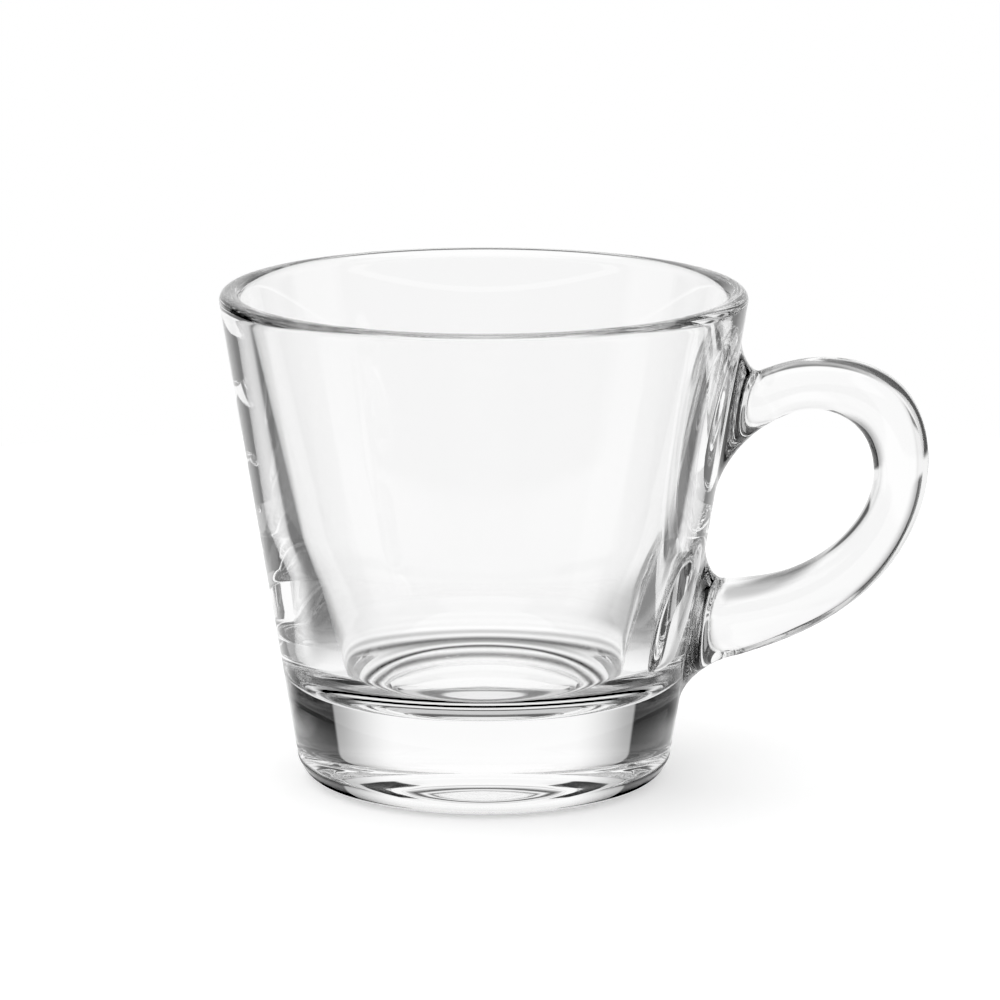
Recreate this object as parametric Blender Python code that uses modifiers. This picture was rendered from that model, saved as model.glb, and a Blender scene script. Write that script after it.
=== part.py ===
"""Espresso glass: a pressed conical bowl with a thick base, and a loop handle applied to its wall.

Metres, +Z up. The glass stands on the plane z = 0 with its handle towards +X. The world's origin is under the
middle of the whole glass, handle included; everything is modelled about the bowl's own axis and hangs on one empty.
"""

import math

import bmesh
import bpy
import numpy as np

# Bowl, outside
RIM_RADIUS = 0.0320
HEIGHT = 0.0600
BASE_RADIUS = 0.0223  # where the straight side would meet the table
BASE_ROUND = 0.0037  # outer corner between the side and the foot
LIP_OUTER_ROUND = 0.0011
LIP_INNER_ROUND = 0.0014
LIP_ROUNDED = 0.96  # most of the rim's wall that its two rounds may take

# Bowl, inside
RIM_WALL = 0.0026
BEND_HEIGHT = 0.0300  # where the inner side turns in towards the floor
BEND_WALL = 0.0047
BEND_ROUND = 0.1100
FLOOR_RADIUS = 0.0170  # where the inner side would meet the floor
FLOOR_THICKNESS = 0.0112  # table to the floor of the cup
FLOOR_ROUND = 0.0070

# Underside: a flat ring to stand on round a domed hollow
RING_WIDTH = 0.0046
PUNT_DEPTH = 0.0032

# Handle: an egg-shaped bar, bent to a loop in the XZ plane
HANDLE_THICKNESS = 0.0066  # in the plane of the loop
HANDLE_WIDTH = 0.0068  # across the plane of the loop
HANDLE_TAPER = 0.15  # share by which the bar is narrower towards the outside of the loop
HANDLE_STANDOFF = 0.0221  # wall to the middle of the bar, where the loop is widest
UPPER_JOINT_BELOW_RIM = 0.0156
LOWER_JOINT_HEIGHT = 0.0189
UPPER_FLARE_LENGTH = 0.0059  # bar that spreads into each foot
LOWER_FLARE_LENGTH = 0.0047
FOOT_HEIGHT = 0.0198  # each foot, along the wall
FOOT_WIDTH = 0.0130  # each foot, round the wall
FOOT_EDGE_ANGLE = math.radians(24)  # between the wall and the foot's edge
FLARE_FULLNESS = 0.32
JOINT_GAP = 0.0003  # between the handle's feet and the wall

# The loop from the upper joint to the lower one, as shares of the standoff, of the height between the joints
# and of the bar's thickness
LOOP_FORM = (
    (0.000, 1.000, 1.03),
    (0.425, 1.158, 0.94),
    (0.818, 1.050, 1.12),
    (1.000, 0.731, 1.00),
    (0.853, 0.305, 1.03),
    (0.508, 0.094, 1.21),
    (0.000, 0.000, 1.68),
)

# Fineness of the facets
TURN_STEPS = 80
ARC_STEP = math.radians(13)
BAR_SIDES = 24
BAR_RINGS = 40
FLARE_RINGS = 6
CAP_RINGS = 3
PATH_STEPS = 400
PUNT_STEPS = 8
SHARP_ANGLE = math.radians(50)

GLASS_COLOUR = (0.93, 0.95, 0.94, 1.0)
GLASS_ROUGHNESS = 0.02
GLASS_IOR = 1.52


def clear_scene():
    for obj in list(bpy.data.objects):
        bpy.data.objects.remove(obj, do_unlink=True)


def glass_material(name):
    material = bpy.data.materials.new(name)
    material.use_nodes = True
    shader = material.node_tree.nodes["Principled BSDF"]
    shader.inputs["Base Color"].default_value = GLASS_COLOUR
    shader.inputs["Roughness"].default_value = GLASS_ROUGHNESS
    shader.inputs["Metallic"].default_value = 0.0
    shader.inputs["IOR"].default_value = GLASS_IOR
    shader.inputs["Transmission Weight"].default_value = 1.0
    return material


def wall_radius(height):
    """Radius of the straight outer side at a height above the table."""
    return BASE_RADIUS + (RIM_RADIUS - BASE_RADIUS) * height / HEIGHT


def corner_frame(before, corner, after):
    """The two unit directions out of a corner of an outline, and half the angle between them."""
    to_before = np.array(before[:2]) - corner[:2]
    to_after = np.array(after[:2]) - corner[:2]
    to_before /= np.linalg.norm(to_before)
    to_after /= np.linalg.norm(to_after)
    return to_before, to_after, math.acos(np.clip(to_before @ to_after, -1, 1)) / 2


def rounded(corners):
    """An (r, z) outline whose corners, each given as (r, z, round), are replaced by tangent arcs."""
    points = [corners[0][:2]]
    for before, corner, after in zip(corners, corners[1:], corners[2:]):
        to_before, to_after, half = corner_frame(before, corner, after)
        middle = (to_before + to_after) / np.linalg.norm(to_before + to_after)
        centre = np.array(corner[:2]) + middle * corner[2] / math.sin(half)
        start = corner[:2] + to_before * corner[2] / math.tan(half) - centre
        end = corner[:2] + to_after * corner[2] / math.tan(half) - centre
        sweep = math.pi - 2 * half
        count = max(2, math.ceil(sweep / ARC_STEP))
        for k in range(count + 1):
            # the spoke turns evenly from the arc's start to its end
            near_start = math.sin((1 - k / count) * sweep)
            near_end = math.sin(k / count * sweep)
            points.append(tuple(centre + (near_start * start + near_end * end) / math.sin(sweep)))
    points.append(corners[-1][:2])
    return points


def punt_outline(ring_inner):
    """The hollow under the base: a cap of a sphere, from the ring in to the axis."""
    sphere = (ring_inner**2 + PUNT_DEPTH**2) / (2 * PUNT_DEPTH)
    radii = [ring_inner * (1 - k / PUNT_STEPS) for k in range(PUNT_STEPS + 1)]
    return [(r, PUNT_DEPTH - sphere + math.sqrt(sphere**2 - r**2)) for r in radii]


def bowl_outline():
    """The bowl's half section: out over the lip, down the outside, under the base, then up the inside."""
    rim_outer = (RIM_RADIUS, HEIGHT)
    rim_inner = (RIM_RADIUS - RIM_WALL, HEIGHT)
    base = (BASE_RADIUS, 0.0)
    bend = (wall_radius(BEND_HEIGHT) - BEND_WALL, BEND_HEIGHT)
    floor = (FLOOR_RADIUS, FLOOR_THICKNESS)
    # how far along the rim's top each of its rounds reaches, both cut alike where the wall is thin for them
    outer_reach = LIP_OUTER_ROUND / math.tan(corner_frame(rim_inner, rim_outer, base)[2])
    inner_reach = LIP_INNER_ROUND / math.tan(corner_frame(bend, rim_inner, rim_outer)[2])
    fit = min(1.0, LIP_ROUNDED * RIM_WALL / (outer_reach + inner_reach))
    top = (RIM_RADIUS - RIM_WALL * outer_reach / (outer_reach + inner_reach), HEIGHT)
    base_reach = BASE_ROUND / math.tan(corner_frame(rim_outer, base, (0.0, 0.0))[2])
    ring_inner = BASE_RADIUS - base_reach - RING_WIDTH
    outside = rounded([top, (*rim_outer, fit * LIP_OUTER_ROUND), (*base, BASE_ROUND), (ring_inner, 0.0)])
    inside = rounded(
        [
            (0.0, FLOOR_THICKNESS),
            (*floor, FLOOR_ROUND),
            (*bend, BEND_ROUND),
            (*rim_inner, fit * LIP_INNER_ROUND),
            top,
        ]
    )
    return outside[:-1] + punt_outline(ring_inner) + inside[:-1]


def make_bowl(collection):
    outline = bowl_outline()
    mesh = bpy.data.meshes.new("bowl")
    edges = [(k, k + 1) for k in range(len(outline) - 1)]
    edges.append((len(outline) - 1, 0))
    on_axis = [k for k, (radius, _) in enumerate(outline) if radius == 0.0]
    edges.remove(tuple(on_axis))
    mesh.from_pydata([(r, 0.0, z) for r, z in outline], edges, [])
    bowl = bpy.data.objects.new("bowl", mesh)
    collection.objects.link(bowl)
    turn = bowl.modifiers.new("turn", "SCREW")
    turn.axis = "Z"
    turn.steps = TURN_STEPS
    turn.render_steps = TURN_STEPS
    turn.use_merge_vertices = True
    turn.merge_threshold = 0.00001
    turn.use_smooth_shade = True
    bowl.data.materials.append(glass_material("pressed_glass"))
    return bowl


def natural_spline(knots, values, at):
    """Values of the smoothest cubic curve through the knots: no bending at its two ends."""
    step = np.diff(knots)
    count = len(knots)
    system = np.zeros((count, count))
    right = np.zeros((count, values.shape[1]))
    system[0, 0] = system[-1, -1] = 1.0
    for k in range(1, count - 1):
        system[k, k - 1 : k + 2] = step[k - 1], 2 * (step[k - 1] + step[k]), step[k]
        right[k] = 6 * ((values[k + 1] - values[k]) / step[k] - (values[k] - values[k - 1]) / step[k - 1])
    bend = np.linalg.solve(system, right)
    k = np.clip(np.searchsorted(knots, at) - 1, 0, count - 2)
    ahead = ((knots[k + 1] - at) / step[k])[:, None]
    behind = 1 - ahead
    square = (step[k] ** 2)[:, None] / 6
    return (
        ahead * values[k]
        + behind * values[k + 1]
        + square * ((ahead**3 - ahead) * bend[k] + (behind**3 - behind) * bend[k + 1])
    )


def loop_path():
    """Points along the middle of the bar, from wall to wall, with the half thickness and the run at each."""
    top = HEIGHT - UPPER_JOINT_BELOW_RIM
    bottom = LOWER_JOINT_HEIGHT
    form = np.array(LOOP_FORM)
    height = bottom + form[:, 1] * (top - bottom)
    line = wall_radius(bottom) + form[:, 1] * (wall_radius(top) - wall_radius(bottom))
    stations = np.c_[line + form[:, 0] * HANDLE_STANDOFF, height, form[:, 2] * HANDLE_THICKNESS / 2]
    knots = np.r_[0, np.cumsum(np.linalg.norm(np.diff(stations[:, :2], axis=0), axis=1))]
    run = np.linspace(0, knots[-1], PATH_STEPS)
    smooth = natural_spline(knots, stations, run)
    length = np.r_[0, np.cumsum(np.linalg.norm(np.diff(smooth[:, :2], axis=0), axis=1))]
    return smooth, length


def bar_rings():
    """Egg-shaped rings along the bar between its two flares, and its direction at the first and the last."""
    smooth, length = loop_path()
    run = np.linspace(UPPER_FLARE_LENGTH, length[-1] - LOWER_FLARE_LENGTH, BAR_RINGS)
    centre = np.stack([np.interp(run, length, smooth[:, k]) for k in range(3)], axis=1)
    slope = np.gradient(smooth[:, :2], length, axis=0)
    along = np.stack([np.interp(run, length, slope[:, k]) for k in range(2)], axis=1)
    along /= np.linalg.norm(along, axis=1)[:, None]
    turn = np.linspace(0, 2 * math.pi, BAR_SIDES, endpoint=False)
    sideways = HANDLE_WIDTH / 2 * np.sin(turn) * (1 - HANDLE_TAPER * np.cos(turn))
    rings = []
    for (x, z, half), (along_x, along_z) in zip(centre, along):
        across = half * np.cos(turn)
        rings.append(np.c_[x - along_z * across, sideways, z + along_x * across])
    return rings, along


def on_wall(round_wall, height):
    """Points on the wall moved out by the joint's gap, from the distance round it and the height."""
    lean = math.atan2(RIM_RADIUS - BASE_RADIUS, HEIGHT)
    radius = wall_radius(height) + JOINT_GAP / math.cos(lean)
    angle = round_wall / radius
    return np.c_[radius * np.cos(angle), radius * np.sin(angle), height]


def foot_rings(joint_height, bar_ring, outward, upside):
    """A foot's rings, from the middle of its face on the wall out to the bar.

    The face lies along the wall. Each line of the flare is a cubic curve that leaves the wall at the edge angle
    and joins the bar along it. Upside is -1 where the bar's rings start at its lower side, and 1 elsewhere."""
    lean = math.atan2(RIM_RADIUS - BASE_RADIUS, HEIGHT)
    turn = np.linspace(0, 2 * math.pi, BAR_SIDES, endpoint=False)
    half_width = FOOT_WIDTH / 2 * np.sin(turn)
    half_height = FOOT_HEIGHT / 2 * math.cos(lean) * np.cos(turn) * upside
    shares = np.linspace(0, 1, CAP_RINGS + 1)[1:]
    rings = [on_wall(share * half_width, joint_height + share * half_height) for share in shares]
    edge = rings[-1]
    along_wall = (rings[-2] - edge) / np.linalg.norm(rings[-2] - edge, axis=1)[:, None]
    angle = np.arctan2(edge[:, 1], edge[:, 0])
    level = np.full(BAR_SIDES, -math.sin(lean))
    off_wall = np.c_[math.cos(lean) * np.cos(angle), math.cos(lean) * np.sin(angle), level]
    reach = FLARE_FULLNESS * np.linalg.norm(bar_ring - edge, axis=1)[:, None]
    first = edge + reach * (math.cos(FOOT_EDGE_ANGLE) * along_wall + math.sin(FOOT_EDGE_ANGLE) * off_wall)
    second = bar_ring - reach * outward
    for share in np.linspace(0, 1, FLARE_RINGS + 1)[1:-1]:
        rest = 1 - share
        near_wall = rest**3 * edge + 3 * rest**2 * share * first
        near_bar = 3 * rest * share**2 * second + share**3 * bar_ring
        rings.append(near_wall + near_bar)
    return rings, on_wall(np.zeros(1), np.full(1, joint_height))[0]


def make_handle(collection):
    bar, along = bar_rings()
    leave = np.array([along[0, 0], 0.0, along[0, 1]])
    arrive = np.array([along[-1, 0], 0.0, along[-1, 1]])
    upper, upper_middle = foot_rings(HEIGHT - UPPER_JOINT_BELOW_RIM, bar[0], leave, 1)
    lower, lower_middle = foot_rings(LOWER_JOINT_HEIGHT, bar[-1], -arrive, -1)
    shape = bmesh.new()
    loops = [[shape.verts.new(point) for point in ring] for ring in upper + bar + lower[::-1]]
    for first, second in zip(loops, loops[1:]):
        for k in range(BAR_SIDES):
            shape.faces.new((first[k - 1], first[k], second[k], second[k - 1]))
    for middle, loop in ((upper_middle, loops[0]), (lower_middle, loops[-1])):
        end = shape.verts.new(middle)
        for k in range(BAR_SIDES):
            shape.faces.new((end, loop[k - 1], loop[k]))
    bmesh.ops.recalc_face_normals(shape, faces=shape.faces)
    mesh = bpy.data.meshes.new("handle")
    shape.to_mesh(mesh)
    shape.free()
    mesh.shade_smooth()
    mesh.set_sharp_from_angle(angle=SHARP_ANGLE)
    handle = bpy.data.objects.new("handle", mesh)
    collection.objects.link(handle)
    handle.data.materials.append(glass_material("drawn_glass"))
    return handle


def main():
    clear_scene()
    collection = bpy.data.collections.new("espresso_glass")
    bpy.context.scene.collection.children.link(collection)
    bowl = make_bowl(collection)
    handle = make_handle(collection)
    bowl_reach = max(vertex.co.x for vertex in bowl.data.vertices)
    handle_reach = max(vertex.co.x for vertex in handle.data.vertices)
    bowl_axis = bpy.data.objects.new("bowl_axis", None)
    bowl_axis.location.x = (bowl_reach - handle_reach) / 2
    collection.objects.link(bowl_axis)
    for piece in (bowl, handle):
        piece.parent = bowl_axis


main()
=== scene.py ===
"""Looks of the espresso glass: clear pressed glass on a white studio sweep.

The bowl and its handle are worked out as numpy surfaces in metres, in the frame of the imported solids. Both
are clear glass and, as on the real cup, melted together at the handle's two feet: the two small faces that
meet inside the glass are clear, so that light crosses the joint as it crosses solid glass.
"""

import math

import bmesh
import bpy
import numpy as np
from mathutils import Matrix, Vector


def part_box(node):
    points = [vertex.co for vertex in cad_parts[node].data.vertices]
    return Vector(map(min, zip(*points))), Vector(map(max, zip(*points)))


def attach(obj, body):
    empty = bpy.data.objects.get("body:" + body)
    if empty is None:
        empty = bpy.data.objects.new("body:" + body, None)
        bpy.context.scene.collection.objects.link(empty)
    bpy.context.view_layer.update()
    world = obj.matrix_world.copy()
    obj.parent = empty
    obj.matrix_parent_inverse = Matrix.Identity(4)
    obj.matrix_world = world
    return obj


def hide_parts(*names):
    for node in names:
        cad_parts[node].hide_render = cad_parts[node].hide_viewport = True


# Bowl
RIM_RADIUS = 0.0320
HEIGHT = 0.0600
BASE_RADIUS = 0.0223  # where the straight side would meet the table
BASE_ROUND = 0.0037  # outer corner between the side and the foot
LIP_OUTER_ROUND = 0.0011
LIP_INNER_ROUND = 0.0014
RIM_WALL = 0.0026
BEND_HEIGHT = 0.0300  # where the inner side turns in towards the floor
BEND_WALL = 0.0047
BEND_ROUND = 0.1100
FLOOR_RADIUS = 0.0170  # where the inner side would meet the floor
FLOOR_THICKNESS = 0.0112  # table to the floor of the cup
FLOOR_ROUND = 0.0070
RING_WIDTH = 0.0046  # the flat ring that the cup stands on
PUNT_DEPTH = 0.0032  # the domed hollow inside that ring

# Handle
HANDLE_THICKNESS = 0.0066  # in the plane of the loop
HANDLE_WIDTH = 0.0068  # across the plane of the loop
HANDLE_TAPER = 0.15  # share by which the bar is narrower towards the outside of the loop
HANDLE_STANDOFF = 0.0221  # wall to the middle of the bar, where the loop is widest
UPPER_JOINT_BELOW_RIM = 0.0156
UPPER_JOINT = HEIGHT - UPPER_JOINT_BELOW_RIM
LOWER_JOINT = 0.0189
UPPER_FLARE = 0.0059  # bar that spreads into each foot
LOWER_FLARE = 0.0047
FOOT_HEIGHT = 0.0198  # each foot, along the wall
FOOT_WIDTH = 0.0130  # each foot, round the wall
FLARE_FULLNESS = 0.32

# The loop from the upper joint to the lower one, as shares of the standoff, of the height between the joints
# and of the bar's thickness
LOOP_FORM = np.array(
    [
        (0.000, 1.000, 1.03),
        (0.425, 1.158, 0.94),
        (0.818, 1.050, 1.12),
        (1.000, 0.731, 1.00),
        (0.853, 0.305, 1.03),
        (0.508, 0.094, 1.21),
        (0.000, 0.000, 1.68),
    ]
)

# Fineness of the surfaces. Round each joint a square patch of the wall is gridded anew: its side has twice
# PATCH_HALF steps, and BORDER points run round it and round each ring of the handle.
TURN_STEPS = 256
PUNT_STEPS = 40
RING_STEPS = 3
BASE_STEPS = 16
LIP_STEPS = 14
UPPER_SIDE_STEPS = 30
BEND_STEPS = 20
LOWER_SIDE_STEPS = 10
FLOOR_CORNER_STEPS = 36
FLOOR_STEPS = 14
ROWS_UNDER_PATCHES = 4
ROWS_BETWEEN_PATCHES = 3
ROWS_OVER_PATCHES = 4
PATCH_HALF = 16
BORDER = 8 * PATCH_HALF
PATCH_REACH = 0.0116  # the patch's middle to its upper and lower edge
PATCH_RINGS = 8
FACE_RINGS = 4
FLARE_RINGS = 18
BAR_RINGS = 150
PATH_STEPS = 2000
JUST_INSIDE = 0.98  # share of a foot's outline that shows which way its middle lies
SHARP_ANGLE = math.radians(70)

# Glass
GLASS_IOR = 1.52
BOUNCES = 20  # of light, before its path is cut
WAVE_LENGTH = 0.011  # the mould's long waves
WAVE_DEPTH = 0.000004
SCUFF_SIZE = 0.0012  # coarser than real scratches, so that it shows
SCUFF_FULL_HEIGHT = 0.00005  # up to here the foot is scuffed, and from the next height on it is clear
SCUFF_END_HEIGHT = 0.0003
SCUFF_ROUGHNESS = 0.4

# Camera: its distance, height of view and focal length come from a fit to the cup's outline
PICTURE = 1000  # pixels each way
FOCAL_PIXELS = 5439
CAMERA_DISTANCE = 0.660
CAMERA_ELEVATION = math.radians(12.39)
SIGHT_HEIGHT = 0.029  # of the sight point, on the bowl's axis
SIGHT_PIXEL = (483.9, 540.7)  # where that point falls in the picture
SENSOR_MILLIMETRES = 36.0
NEAR_CLIP = 0.01

# Table
TABLE_REACH = 0.22
TABLE_LEVEL = -0.00005
TABLE_SIDES = 96
TABLE_GLOW = 0.3
LIGHT_RING_START = 0.0150
LIGHT_RING_SPACING = 0.0036

# Light and shade are given as layers, each laid over those before it. A layer is a level, where 1 is white,
# or a set of layers of its own, and then its soft edges: what is measured, where the layer begins and where
# it is full. Away is metres from the bowl's axis, and around is degrees round it, from straight behind
# towards the handle. Turn is degrees to either side of straight behind or straight in front, and rise is
# degrees above the horizon. Back runs from -1, straight in front, to 1, straight behind. Camera and matt are
# 1 for what the eye sees directly and for the light that falls on matt surfaces.
DIRECT_SIGHT = ((0.0,), (1.0, ("camera", 0, 1)), (1.0, ("matt", 0, 1)))

# The table as it shows through the glass: light gathered under the base, rings round it, and the shade of the
# flags at both sides and in front. All of it is drawn, in place of light that a real base gathers.
UNDER_BASE = (
    (0.85,),
    (0.1, ("away", 0.0052, 0.0068)),
    (0.6, ("away", 0.0090, 0.0110)),
)
UNDER_BASE_END = ("away", 0.0138, 0.0146)
# Painted rings of light and a painted shadow round the base: how far the rings swing, and the level they
# swing about, which is dark close to the base and white further out.
LIGHT_RING_SWING = ((0.6,), (0.0, ("away", 0.0200, 0.0340)))
LIGHT_RING_LEVEL = ((0.4,), (1.0, ("away", 0.0225, 0.0320)))
FLAG_SHADE = (
    (1.0,),
    (0.14, ("around", -50, -72)),
    (0.55, ("around", 18, 50)),
    (0.22, ("around", 52, 72)),
    (0.6, ("around", 112, 124)),
    (0.6, ("around", -112, -124)),
    (1.0, ("away", 0.042, 0.034)),
)
TABLE_END = ((0.0,), (1.0, ("away", 0.050, 0.066)))

# Behind the cup: a lit panel that dims towards its sides and is narrower above, dark flags beside it,
# softboxes at the far sides and a ceiling
HIGH_PANEL = ((0.95,), (0.004, ("turn", 18, 20)))
BEHIND = (
    (1.0,),
    (0.4, ("turn", 18, 39)),
    (0.0016, ("turn", 37, 38.5)),
    (HIGH_PANEL, ("rise", 32, 35)),
    (0.02, ("turn", 74, 76)),
    (0.4, ("turn", 74, 76), ("rise", 24, 22)),
    (1.0, ("rise", 55, 57)),
)

# Below the horizon behind the cup: the white table, with painted shade at both sides, darkest in stripes, and
# dark far down, a painted shadow of the cup
FAR_DOWN = ((0.1,), (0.72, ("turn", 20, 30)))
BEHIND_BELOW = (
    (1.0,),
    (0.45, ("turn", 24, 44)),
    (0.12, ("turn", 33, 38), ("rise", -22, -26)),
    (0.57, ("turn", 49, 53)),
    (0.9, ("turn", 30, 36), ("rise", -26, -22)),
    (FAR_DOWN, ("rise", -44, -50)),
)

# In front of the cup: dark, with the softboxes, a high fill light, the ceiling and the white table
IN_FRONT = (
    (0.06,),
    (0.4, ("turn", 74.3, 76), ("rise", 24, 22)),
    (0.85, ("turn", 48.8, 36.4), ("rise", 22.5, 27.8)),
    (1.0, ("rise", 55.2, 57)),
    (0.9, ("rise", -5.3, -8.9)),
)
STUDIO = ((BEHIND,), (BEHIND_BELOW, ("rise", -7, -9.5)), (IN_FRONT, ("back", 0.03, -0.03)))
LAMP_LEAN = -0.3  # change of the light on matt surfaces from the middle to the handle's side


def linear(hex_colour):
    """Linear RGBA of an sRGB hex colour."""
    srgb = np.array([int(hex_colour[k : k + 2], 16) for k in (1, 3, 5)]) / 255
    values = np.where(srgb <= 0.04045, srgb / 12.92, ((srgb + 0.055) / 1.055) ** 2.4)
    return (*values.tolist(), 1.0)


def add_node(tree, kind, inputs=None, **settings):
    """Adds a node, with its settings, and with inputs that are either values or other nodes' outputs."""
    node = tree.nodes.new(kind)
    for name, value in settings.items():
        setattr(node, name, value)
    for name, value in (inputs or {}).items():
        if isinstance(value, bpy.types.NodeSocket):
            tree.links.new(value, node.inputs[name])
        else:
            node.inputs[name].default_value = value
    return node


def wall_radius(height):
    """Radius of the straight outer side at a height above the table."""
    return BASE_RADIUS + (RIM_RADIUS - BASE_RADIUS) * height / HEIGHT


def arc(before, corner, after, radius, count):
    """Points of the arc that rounds a corner of an outline, tangent to both of its sides."""
    corner = np.array(corner)
    to_before = (np.array(before) - corner) / np.linalg.norm(np.array(before) - corner)
    to_after = (np.array(after) - corner) / np.linalg.norm(np.array(after) - corner)
    half = math.acos(to_before @ to_after) / 2
    middle = (to_before + to_after) / np.linalg.norm(to_before + to_after)
    centre = corner + middle * radius / math.sin(half)
    start = corner + to_before * radius / math.tan(half) - centre
    end = corner + to_after * radius / math.tan(half) - centre
    sweep = math.pi - 2 * half
    share = np.linspace(0, 1, count)[:, None]
    return centre + (np.sin((1 - share) * sweep) * start + np.sin(share * sweep) * end) / math.sin(sweep)


def between(first, last, count):
    """Evenly spaced points strictly between two points."""
    share = np.linspace(0, 1, count + 2)[1:-1, None]
    return (1 - share) * np.array(first) + share * np.array(last)


def wall_heights(bottom, top):
    """Heights of the rows up the outer wall: even across each joint's patch, and few between. Also the rows,
    counted from the first one, in the middle of the lower and the upper patch."""
    lower = LOWER_JOINT + PATCH_REACH * np.linspace(-1, 1, 2 * PATCH_HALF + 1)
    upper = UPPER_JOINT + PATCH_REACH * np.linspace(-1, 1, 2 * PATCH_HALF + 1)
    under = np.linspace(bottom, lower[0], ROWS_UNDER_PATCHES + 2)[1:-1]
    gap = np.linspace(lower[-1], upper[0], ROWS_BETWEEN_PATCHES + 2)[1:-1]
    over = np.linspace(upper[-1], top, ROWS_OVER_PATCHES + 2)[1:-1]
    heights = np.concatenate([under, lower, gap, upper, over])
    return heights, len(under) + PATCH_HALF, len(under) + len(lower) + len(gap) + PATCH_HALF


def bowl_outline():
    """The bowl's half section as (r, z) rows: from the underside's middle, out under the base, up the
    outside, over the lip and down the inside to the floor's middle. Also the rows at the joints' heights."""
    rim_outer = (RIM_RADIUS, HEIGHT)
    rim_inner = (RIM_RADIUS - RIM_WALL, HEIGHT)
    base = (BASE_RADIUS, 0.0)
    bend = (wall_radius(BEND_HEIGHT) - BEND_WALL, BEND_HEIGHT)
    floor = (FLOOR_RADIUS, FLOOR_THICKNESS)
    floor_middle = (0.0, FLOOR_THICKNESS)
    base_arc = arc((0.0, 0.0), base, rim_outer, BASE_ROUND, BASE_STEPS)
    ring_inner = base_arc[0, 0] - RING_WIDTH
    sphere = (ring_inner**2 + PUNT_DEPTH**2) / (2 * PUNT_DEPTH)
    radii = np.linspace(0, ring_inner, PUNT_STEPS)
    punt = np.c_[radii, PUNT_DEPTH - sphere + np.sqrt(sphere**2 - radii**2)]
    ring = between((ring_inner, 0.0), base_arc[0], RING_STEPS)
    outer_arc = arc(base, rim_outer, rim_inner, LIP_OUTER_ROUND, LIP_STEPS)
    inner_arc = arc(rim_outer, rim_inner, bend, LIP_INNER_ROUND, LIP_STEPS)
    bend_arc = arc(rim_inner, bend, floor, BEND_ROUND, BEND_STEPS)
    floor_arc = arc(bend, floor, floor_middle, FLOOR_ROUND, FLOOR_CORNER_STEPS)
    heights, lower_row, upper_row = wall_heights(base_arc[-1, 1], outer_arc[0, 1])
    wall = np.c_[wall_radius(heights), heights]
    upper_side = between(inner_arc[-1], bend_arc[0], UPPER_SIDE_STEPS)
    lower_side = between(bend_arc[-1], floor_arc[0], LOWER_SIDE_STEPS)
    level = between(floor_arc[-1], floor_middle, FLOOR_STEPS)
    outside = [punt, ring, base_arc, wall, outer_arc]
    inside = [inner_arc, upper_side, bend_arc, lower_side, floor_arc, level, [floor_middle]]
    before = len(punt) + len(ring) + len(base_arc)
    return np.vstack([*outside, *inside]), before + lower_row, before + upper_row


def on_wall(turn, height):
    """Points on the outer wall about the bowl's axis, from the angle round it and the height."""
    radius = wall_radius(height)
    return np.stack([radius * np.cos(turn), radius * np.sin(turn), height], axis=-1)


def foot_edge(joint, upside, share=1.0):
    """The outline of a foot on the wall, shrunk by a share: an oval, as angle round the wall and height."""
    phase = 2 * math.pi * np.arange(BORDER) / BORDER
    lean = math.atan2(RIM_RADIUS - BASE_RADIUS, HEIGHT)
    height = joint + share * upside * FOOT_HEIGHT / 2 * math.cos(lean) * np.sin(phase)
    return np.c_[share * FOOT_WIDTH / 2 * np.cos(phase) / wall_radius(height), height]


def patch_border(upside):
    """Row and column, counted from a patch's middle, of each grid point round its square border."""
    step = (np.arange(BORDER) + PATCH_HALF) % BORDER
    side = step // (2 * PATCH_HALF)
    along = step % (2 * PATCH_HALF) - PATCH_HALF
    row = np.choose(side, [along, PATCH_HALF, -along, -PATCH_HALF])
    column = np.choose(side, [PATCH_HALF, -along, -PATCH_HALF, along])
    return upside * row, column


def joint_face(joint, upside):
    """Rings of the face where a foot meets the wall, from just inside its edge in to its middle point."""
    shares = np.linspace(1, 0, FACE_RINGS + 1)[1:-1]
    rings = [on_wall(*foot_edge(joint, upside, share).T) for share in shares]
    return np.array(rings), on_wall(np.zeros(1), np.array([joint]))


def ring_quads(first, second):
    """Faces between two closed rings of vertex numbers."""
    return np.stack([first, np.roll(first, -1), np.roll(second, -1), second], axis=-1)


def fan(ring, middle):
    """Triangles from a closed ring of vertex numbers to its middle one."""
    return np.stack([ring, np.roll(ring, -1), np.full(len(ring), middle)], axis=-1)


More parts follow.
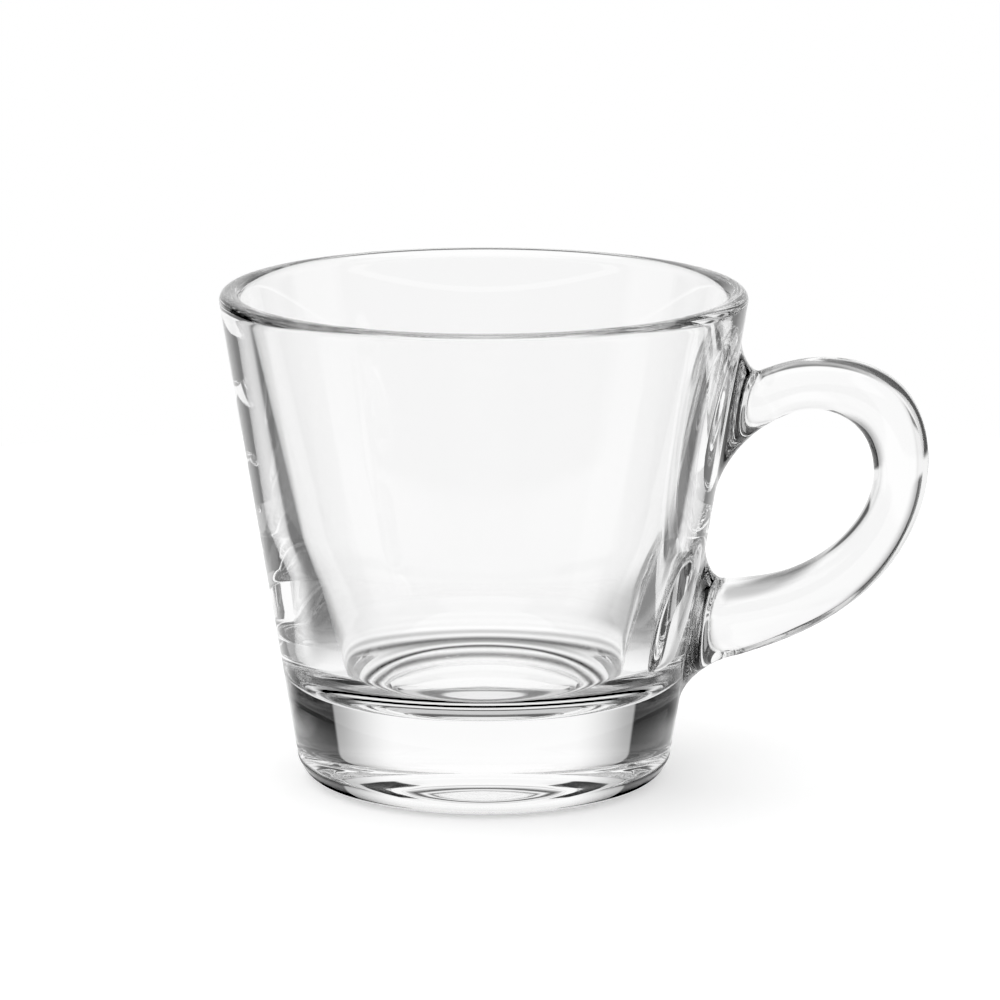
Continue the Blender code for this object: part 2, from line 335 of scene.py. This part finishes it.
def bowl_surface():
    """The turned bowl: x = r cos t, y = r sin t over the rows of its outline, with two square patches of the
    wall gridded anew as rings that run from the patch's border in to the edge of the handle's foot."""
    rows, lower_row, upper_row = bowl_outline()
    inner = rows[1:-1]
    turn = 2 * math.pi * np.arange(TURN_STEPS) / TURN_STEPS
    grid = np.stack(
        [
            inner[:, :1] * np.cos(turn),
            inner[:, :1] * np.sin(turn),
            np.repeat(inner[:, 1:], TURN_STEPS, axis=1),
        ],
        axis=-1,
    )
    number = np.arange(len(inner) * TURN_STEPS).reshape(len(inner), TURN_STEPS)
    across = np.roll(number, -1, axis=1)
    quads = np.stack([number[:-1], across[:-1], across[1:], number[1:]], axis=-1)
    kept = np.ones(quads.shape[:2], bool)
    points = [grid.reshape(-1, 3), [(0, 0, rows[0, 1])], [(0, 0, rows[-1, 1])]]
    count = number.size + 2
    triangles = [fan(number[0], count - 2), fan(number[-1], count - 1)]
    faces, joint_faces, joint_triangles = [], [], []
    columns = np.arange(-PATCH_HALF, PATCH_HALF)
    for middle, joint, upside in ((lower_row - 1, LOWER_JOINT, -1), (upper_row - 1, UPPER_JOINT, 1)):
        kept[middle - PATCH_HALF : middle + PATCH_HALF, columns] = False
        row, column = patch_border(upside)
        outer = number[middle + row, column]
        border = np.c_[2 * math.pi * column / TURN_STEPS, inner[middle + row, 1]]
        edge = foot_edge(joint, upside)
        shares = np.linspace(0, 1, PATCH_RINGS + 1)[1:, None, None]
        flat = (1 - shares) * border + shares * edge
        disc, centre = joint_face(joint, upside)
        rings = count + np.arange((PATCH_RINGS + len(disc)) * BORDER).reshape(-1, BORDER)
        points += [on_wall(flat[..., 0], flat[..., 1]).reshape(-1, 3), disc.reshape(-1, 3), centre]
        count += rings.size + 1
        faces += [ring_quads(a, b) for a, b in zip([outer, *rings], rings[:PATCH_RINGS])]
        joint_faces += [ring_quads(a, b) for a, b in zip(rings[PATCH_RINGS - 1 :], rings[PATCH_RINGS:])]
        joint_triangles.append(fan(rings[-1], count - 1))
    return np.vstack(points), [quads[kept], *faces], triangles, joint_faces, joint_triangles


def natural_spline(knots, values, at):
    """Values of the smoothest cubic curve through the knots, with no bending at its two ends."""
    step = np.diff(knots)[:, None]
    slope = np.diff(values, axis=0) / step
    system = np.diag(np.r_[1.0, 2 * (step[:-1, 0] + step[1:, 0]), 1.0])
    system += np.diag(np.r_[0.0, step[1:, 0]], 1) + np.diag(np.r_[step[:-1, 0], 0.0], -1)
    bend = np.linalg.solve(system, np.vstack([slope[:1] * 0, 6 * np.diff(slope, axis=0), slope[:1] * 0]))
    k = np.clip(np.searchsorted(knots, at) - 1, 0, len(knots) - 2)
    ahead = (knots[k + 1] - at)[:, None] / step[k]
    behind = 1 - ahead
    line = ahead * values[k] + behind * values[k + 1]
    return line + step[k] ** 2 / 6 * ((ahead**3 - ahead) * bend[k] + (behind**3 - behind) * bend[k + 1])


def bar_rings():
    """Egg-shaped rings along the loop between its two flares, and the bar's direction at each. The loop is a
    spline through its stations, and a ring is (a sin p) in the loop's plane by (b cos p)(1 - taper sin p)."""
    height = LOWER_JOINT + LOOP_FORM[:, 1] * (UPPER_JOINT - LOWER_JOINT)
    rise = wall_radius(UPPER_JOINT) - wall_radius(LOWER_JOINT)
    middle = wall_radius(LOWER_JOINT) + LOOP_FORM[:, 1] * rise + LOOP_FORM[:, 0] * HANDLE_STANDOFF
    stations = np.c_[middle, height, LOOP_FORM[:, 2] * HANDLE_THICKNESS / 2]
    knots = np.r_[0, np.cumsum(np.linalg.norm(np.diff(stations[:, :2], axis=0), axis=1))]
    path = natural_spline(knots, stations, np.linspace(0, knots[-1], PATH_STEPS))
    length = np.r_[0, np.cumsum(np.linalg.norm(np.diff(path[:, :2], axis=0), axis=1))]
    run = np.linspace(UPPER_FLARE, length[-1] - LOWER_FLARE, BAR_RINGS)
    slope = np.gradient(path[:, :2], length, axis=0)
    x, z, half, along_x, along_z = (np.interp(run, length, v)[:, None] for v in np.c_[path, slope].T)
    phase = 2 * math.pi * np.arange(BORDER) / BORDER
    out = np.sin(phase)
    across = half * out
    wide = np.tile(HANDLE_WIDTH / 2 * np.cos(phase) * (1 - HANDLE_TAPER * out), (BAR_RINGS, 1))
    rings = np.stack([x - along_z * across, wide, z + along_x * across], axis=-1)
    return rings, np.concatenate([along_x, 0 * along_x, along_z], axis=1)


def flare_rings(joint, upside, bar_ring, outward):
    """Rings of a foot from its edge on the wall up to the bar: cubic curves that start along the wall,
    towards the foot's middle, and end along the bar."""
    edge = on_wall(*foot_edge(joint, upside).T)
    inward = on_wall(*foot_edge(joint, upside, JUST_INSIDE).T) - edge
    inward /= np.linalg.norm(inward, axis=1)[:, None]
    reach = FLARE_FULLNESS * np.linalg.norm(bar_ring - edge, axis=1)[:, None]
    first = edge + reach * inward
    second = bar_ring - reach * outward
    share = np.linspace(0, 1, FLARE_RINGS + 1)[:-1, None, None]
    rest = 1 - share
    return (
        rest**3 * edge
        + 3 * rest**2 * share * first
        + 3 * rest * share**2 * second
        + share**3 * bar_ring
    )


def handle_surface():
    """The handle: rings of the upper flare, the bar and the lower flare, closed by the two joint faces."""
    bar, along = bar_rings()
    upper = flare_rings(UPPER_JOINT, 1, bar[0], along[0])
    lower = flare_rings(LOWER_JOINT, -1, bar[-1], -along[-1])
    rings = np.concatenate([upper, bar, lower[::-1]])
    number = np.arange(rings.shape[0] * BORDER).reshape(-1, BORDER)
    points, count = [rings.reshape(-1, 3)], number.size
    faces = [ring_quads(a, b) for a, b in zip(number, number[1:])]
    joint_faces, joint_triangles = [], []
    for edge, joint, upside in ((number[0], UPPER_JOINT, 1), (number[-1], LOWER_JOINT, -1)):
        disc, centre = joint_face(joint, upside)
        discs = count + np.arange(len(disc) * BORDER).reshape(-1, BORDER)
        points += [disc.reshape(-1, 3), centre]
        count += discs.size + 1
        joint_faces += [ring_quads(a, b) for a, b in zip([edge, *discs], discs)]
        joint_triangles.append(fan(discs[-1], count - 1))
    return np.vstack(points), faces, [], joint_faces, joint_triangles


def make_piece(name, surface, axis_x, materials):
    """A smooth mesh object from a surface's points and faces, moved out to the bowl's axis, with its faces
    outwards. The joint faces come last and take the second material."""
    points, quads, triangles, joint_quads, joint_triangles = surface
    groups = [quads, triangles, joint_quads, joint_triangles]
    faces = [face for group in groups for block in group for face in block.tolist()]
    joint_count = sum(len(block) for group in groups[2:] for block in group)
    used, numbers = np.unique(np.concatenate(faces), return_inverse=True)
    ends = np.cumsum([len(face) for face in faces])
    renumbered = [face.tolist() for face in np.split(numbers, ends[:-1])]
    mesh = bpy.data.meshes.new(name)
    mesh.from_pydata((points[used] + (axis_x, 0, 0)).tolist(), [], renumbered)
    slots = np.zeros(len(faces), np.int32)
    slots[len(faces) - joint_count :] = 1
    mesh.polygons.foreach_set("material_index", slots)
    for material in materials:
        mesh.materials.append(material)
    shape = bmesh.new()
    shape.from_mesh(mesh)
    bmesh.ops.recalc_face_normals(shape, faces=shape.faces)
    shape.to_mesh(mesh)
    shape.free()
    mesh.shade_smooth()
    mesh.set_sharp_from_angle(angle=SHARP_ANGLE)
    piece = bpy.data.objects.new(name, mesh)
    bpy.context.scene.collection.objects.link(piece)
    return piece


def pressed_glass():
    """Soda-lime tableware glass, pressed and fire-polished: clear and smooth, with the faint long waves that
    a mould leaves, and the foot dulled where it has stood on tables."""
    material = bpy.data.materials.new("soda_lime_glass")
    material.use_nodes = True
    tree = material.node_tree
    tree.nodes.clear()
    place = add_node(tree, "ShaderNodeTexCoord").outputs["Object"]
    waves = add_node(
        tree,
        "ShaderNodeTexNoise",
        {"Vector": place, "Scale": 1 / WAVE_LENGTH, "Detail": 1.0, "Roughness": 0.4},
    )
    bump = add_node(
        tree,
        "ShaderNodeBump",
        {"Height": waves.outputs["Fac"], "Strength": 1.0, "Distance": WAVE_DEPTH},
    )
    height = add_node(tree, "ShaderNodeSeparateXYZ", {"Vector": place}).outputs["Z"]
    foot = add_node(
        tree,
        "ShaderNodeMapRange",
        {
            "Value": height,
            "From Min": SCUFF_FULL_HEIGHT,
            "From Max": SCUFF_END_HEIGHT,
            "To Min": SCUFF_ROUGHNESS,
            "To Max": 0.0,
        },
    )
    scuffs = add_node(
        tree,
        "ShaderNodeTexNoise",
        {"Vector": place, "Scale": 1 / SCUFF_SIZE, "Detail": 4.0, "Roughness": 0.7},
    )
    dulled = add_node(
        tree,
        "ShaderNodeMath",
        {0: foot.outputs["Result"], 1: scuffs.outputs["Fac"]},
        operation="MULTIPLY",
    )
    shader = add_node(
        tree,
        "ShaderNodeBsdfPrincipled",
        {
            "Base Color": linear("#ffffff"),
            "Roughness": dulled.outputs["Value"],
            "IOR": GLASS_IOR,
            "Transmission Weight": 1.0,
            "Normal": bump.outputs["Normal"],
        },
    )
    add_node(tree, "ShaderNodeOutputMaterial", {"Surface": shader.outputs["BSDF"]})
    return material


def melted_joint():
    """The face where the handle and the bowl are melted into one: glass on both sides, so nothing shows."""
    material = bpy.data.materials.new("melted_glass_joint")
    material.use_nodes = True
    shader = material.node_tree.nodes["Principled BSDF"]
    shader.inputs["Alpha"].default_value = 0.0
    return material


def make_camera(axis_x):
    """A long lens a little above the cup, aimed so that the sight point falls on its own pixel."""
    camera = bpy.data.objects.new("camera", bpy.data.cameras.new("camera"))
    bpy.context.scene.collection.objects.link(camera)
    camera.data.sensor_width = SENSOR_MILLIMETRES
    camera.data.lens = SENSOR_MILLIMETRES * FOCAL_PIXELS / PICTURE
    back = Vector((0, -math.cos(CAMERA_ELEVATION), math.sin(CAMERA_ELEVATION)))
    up = Vector((0, math.sin(CAMERA_ELEVATION), math.cos(CAMERA_ELEVATION)))
    sight = Vector((axis_x, 0, SIGHT_HEIGHT))
    pixel = CAMERA_DISTANCE / FOCAL_PIXELS
    right_by = (PICTURE / 2 - SIGHT_PIXEL[0]) * pixel
    up_by = (SIGHT_PIXEL[1] - PICTURE / 2) * pixel
    camera.location = sight + CAMERA_DISTANCE * back
    aim = sight + Vector((right_by, 0, 0)) + up_by * up
    camera.rotation_mode = "QUATERNION"
    camera.rotation_quaternion = (aim - camera.location).to_track_quat("-Z", "Y")
    camera.data.clip_start = NEAR_CLIP
    bpy.context.scene.camera = camera


def layered(tree, places, layers):
    """Light and shade in layers: over the level l0 so far, each layer gives l0 + (l - l0) s1 s2, where every
    edge's s is a smooth step from 0 where it begins to 1 where it is full, in whichever direction that is."""
    shade = 0.0
    for level, *edges in layers:
        laid = layered(tree, places, level) if isinstance(level, tuple) else level
        for name, begin, full in edges:
            step = add_node(
                tree,
                "ShaderNodeMapRange",
                {"Value": places[name], "From Min": begin, "From Max": full, "To Min": shade, "To Max": laid},
                interpolation_type="SMOOTHSTEP",
            )
            laid = step.outputs["Result"]
        shade = laid
    return shade


def table_shade(tree, places):
    """The table as it shows through the glass, all in painted light and shade. Past the base its level swings
    with the distance r from the bowl's axis, as sin(2 pi (r - start) / spacing), for painted rings of light,
    and a painted shade of the flags darkens it by the angle round that axis."""
    pace = 2 * math.pi / LIGHT_RING_SPACING
    phase = add_node(
        tree,
        "ShaderNodeMath",
        {0: places["away"], 1: pace, 2: -pace * LIGHT_RING_START},
        operation="MULTIPLY_ADD",
    )
    wave = add_node(tree, "ShaderNodeMath", {0: phase.outputs["Value"]}, operation="SINE")
    swing = layered(tree, places, LIGHT_RING_SWING)
    level = layered(tree, places, LIGHT_RING_LEVEL)
    rings = add_node(
        tree,
        "ShaderNodeMath",
        {0: wave.outputs["Value"], 1: swing, 2: level},
        operation="MULTIPLY_ADD",
    )
    gathered = layered(tree, places, (*UNDER_BASE, (rings.outputs["Value"], UNDER_BASE_END)))
    flags = layered(tree, places, FLAG_SHADE)
    return add_node(tree, "ShaderNodeMath", {0: gathered, 1: flags}, operation="MULTIPLY").outputs["Value"]


def white_table(axis_x):
    """Matt white table top: white to the eye, and it keeps the cup's soft shadow. Through the glass it shows
    the light and shade that are drawn on it, and ends a little way from the cup."""
    material = bpy.data.materials.new("white_table")
    material.use_nodes = True
    tree = material.node_tree
    tree.nodes.clear()
    position = add_node(tree, "ShaderNodeNewGeometry").outputs["Position"]
    centre = (axis_x, 0, TABLE_LEVEL)
    offset = add_node(tree, "ShaderNodeVectorMath", {0: position, 1: centre}, operation="SUBTRACT")
    away = add_node(tree, "ShaderNodeVectorMath", {0: offset.outputs["Vector"]}, operation="LENGTH")
    parts = add_node(tree, "ShaderNodeSeparateXYZ", {"Vector": offset.outputs["Vector"]}).outputs
    angle = add_node(tree, "ShaderNodeMath", {0: parts["X"], 1: parts["Y"]}, operation="ARCTAN2")
    around = add_node(tree, "ShaderNodeMath", {0: angle.outputs["Value"]}, operation="DEGREES")
    path = add_node(tree, "ShaderNodeLightPath").outputs
    places = {
        "away": away.outputs["Value"],
        "around": around.outputs["Value"],
        "camera": path["Is Camera Ray"],
        "matt": path["Is Diffuse Ray"],
    }
    white = linear("#ffffff")
    paint = add_node(tree, "ShaderNodeBsdfDiffuse", {"Color": linear("#f8f8f8")})
    glow = add_node(tree, "ShaderNodeEmission", {"Color": white, "Strength": TABLE_GLOW})
    plain = add_node(tree, "ShaderNodeAddShader", {0: paint.outputs["BSDF"], 1: glow.outputs["Emission"]})
    lit = add_node(tree, "ShaderNodeEmission", {"Color": white, "Strength": table_shade(tree, places)})
    beyond = add_node(tree, "ShaderNodeBsdfTransparent")
    end = layered(tree, places, TABLE_END)
    through = add_node(
        tree,
        "ShaderNodeMixShader",
        {0: end, 1: lit.outputs["Emission"], 2: beyond.outputs["BSDF"]},
    )
    direct = layered(tree, places, DIRECT_SIGHT)
    seen = add_node(
        tree,
        "ShaderNodeMixShader",
        {0: direct, 1: through.outputs["Shader"], 2: plain.outputs["Shader"]},
    )
    add_node(tree, "ShaderNodeOutputMaterial", {"Surface": seen.outputs["Shader"]})
    return material


def make_floor(axis_x):
    """A round table top just under the cup: one flat face with its corners on a circle."""
    turn = 2 * math.pi * np.arange(TABLE_SIDES) / TABLE_SIDES
    rim = np.c_[TABLE_REACH * np.cos(turn), TABLE_REACH * np.sin(turn), np.full(TABLE_SIDES, TABLE_LEVEL)]
    mesh = bpy.data.meshes.new("floor")
    mesh.from_pydata(rim.tolist(), [], [list(range(TABLE_SIDES))])
    mesh.materials.append(white_table(axis_x))
    floor = bpy.data.objects.new("floor", mesh)
    bpy.context.scene.collection.objects.link(floor)


def make_studio():
    """The studio round the cup. The glass shows its panels, and the dark flags between them, which draw the
    dark lines along the glass's edges. To the eye it is plain white, and it lights the table a little more
    from the left."""
    world = bpy.data.worlds.new("studio")
    bpy.context.scene.world = world
    world.use_nodes = True
    world.cycles.sampling_method = "NONE"
    tree = world.node_tree
    tree.nodes.clear()
    direction = add_node(tree, "ShaderNodeTexCoord").outputs["Generated"]
    parts = add_node(tree, "ShaderNodeSeparateXYZ", {"Vector": direction}).outputs
    folded = add_node(tree, "ShaderNodeVectorMath", {0: direction}, operation="ABSOLUTE").outputs["Vector"]
    sides = add_node(tree, "ShaderNodeSeparateXYZ", {"Vector": folded}).outputs
    angle = add_node(tree, "ShaderNodeMath", {0: sides["X"], 1: sides["Y"]}, operation="ARCTAN2")
    turn = add_node(tree, "ShaderNodeMath", {0: angle.outputs["Value"]}, operation="DEGREES")
    slope = add_node(tree, "ShaderNodeMath", {0: parts["Z"]}, operation="ARCSINE")
    rise = add_node(tree, "ShaderNodeMath", {0: slope.outputs["Value"]}, operation="DEGREES")
    lamp = add_node(tree, "ShaderNodeMath", {0: parts["X"], 1: LAMP_LEAN, 2: 1.0}, operation="MULTIPLY_ADD")
    path = add_node(tree, "ShaderNodeLightPath").outputs
    places = {
        "turn": turn.outputs["Value"],
        "rise": rise.outputs["Value"],
        "back": parts["Y"],
        "camera": path["Is Camera Ray"],
        "matt": path["Is Diffuse Ray"],
    }
    plain = ((lamp.outputs["Value"], ("matt", 0, 1)), (1.0, ("camera", 0, 1)))
    strength = layered(tree, places, (*STUDIO, *plain))
    light = add_node(tree, "ShaderNodeBackground", {"Color": linear("#ffffff"), "Strength": strength})
    add_node(tree, "ShaderNodeOutputWorld", {"Surface": light.outputs["Background"]})


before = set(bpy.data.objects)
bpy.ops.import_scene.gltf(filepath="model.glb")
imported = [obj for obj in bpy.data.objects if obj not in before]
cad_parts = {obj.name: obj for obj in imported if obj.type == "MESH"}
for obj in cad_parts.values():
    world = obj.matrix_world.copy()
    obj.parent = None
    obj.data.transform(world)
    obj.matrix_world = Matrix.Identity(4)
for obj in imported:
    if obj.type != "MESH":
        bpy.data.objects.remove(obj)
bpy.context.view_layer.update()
low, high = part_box("bowl")
bowl_axis = (low.x + high.x) / 2

glass = pressed_glass()
melted = melted_joint()
for piece_name, surface in (("bowl", bowl_surface()), ("handle", handle_surface())):
    piece = make_piece(piece_name + "_glass", surface, bowl_axis, (glass, melted))
    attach(piece, "root")
    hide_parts(piece_name)

make_camera(bowl_axis)
make_floor(bowl_axis)
make_studio()
scene = bpy.context.scene
scene.view_settings.view_transform = "Standard"
scene.cycles.max_bounces = BOUNCES
scene.cycles.transmission_bounces = BOUNCES
scene.cycles.glossy_bounces = BOUNCES
scene.cycles.transparent_max_bounces = BOUNCES
